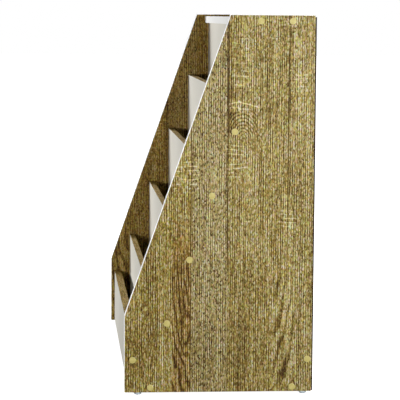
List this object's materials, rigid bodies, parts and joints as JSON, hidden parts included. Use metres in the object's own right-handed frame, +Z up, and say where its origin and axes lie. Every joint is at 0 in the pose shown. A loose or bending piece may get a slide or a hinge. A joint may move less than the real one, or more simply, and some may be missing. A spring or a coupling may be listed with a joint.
{
  "type": "magazine rack",
  "caption": "Free-standing wide magazine rack: stepped full-width pockets between sloping wood-effect side panels, white dividers.",
  "frame": {"origin": "on the floor, under the middle of the rack", "axes": "+X to the rack's right-hand end when seen from the front, -Y the open front, +Z up"},
  "size_m": [0.902, 0.38, 0.76],
  "materials": {
    "oak_laminate": "satin printed melamine, sawn oak pattern",
    "white_laminate": "satin white melamine on chipboard",
    "white_band": "satin edge band",
    "oak_band": "satin printed edge band",
    "hardboard": "matte",
    "cap_plastic": "satin",
    "zinc_steel": "zinc plated",
    "beech": "matte",
    "glide_plastic": "smooth, slightly translucent"
  },
  "bodies": {
    "root": {"back_board": "hardboard", "back_nails": "zinc_steel", "bottom_board": "oak_laminate", "divider_1": "white_laminate", "divider_2": "white_laminate", "divider_3": "white_laminate", "divider_4": "white_laminate", "divider_band_1": "oak_band", "divider_band_2": "oak_band", "divider_band_3": "oak_band", "divider_band_4": "oak_band", "divider_screws": "zinc_steel", "dowels_left": "beech", "dowels_right": "beech", "edge_band_front_left": "white_band", "edge_band_front_right": "white_band", "edge_band_slope_left": "white_band", "edge_band_slope_right": "white_band", "edge_band_top_left": "white_band", "edge_band_top_right": "white_band", "foot_screws": "zinc_steel", "front_panel": "white_laminate", "front_panel_band": "oak_band", "glide_front_left": "glide_plastic", "glide_front_right": "glide_plastic", "glide_nails": "zinc_steel", "glide_rear_left": "glide_plastic", "glide_rear_right": "glide_plastic", "pocket_floor_1": "oak_laminate", "pocket_floor_2": "oak_laminate", "pocket_floor_3": "oak_laminate", "pocket_floor_4": "oak_laminate", "rear_rail": "oak_laminate", "screw_caps_left": "cap_plastic", "screw_caps_right": "cap_plastic", "side_panel_left": "oak_laminate", "side_panel_right": "oak_laminate", "side_screws_left": "zinc_steel", "side_screws_right": "zinc_steel", "small_dowels_left": "beech", "small_dowels_right": "beech", "top_board": "oak_laminate", "top_board_band": "white_band", "upper_back_panel": "white_laminate"}
  },
  "joints": []
}
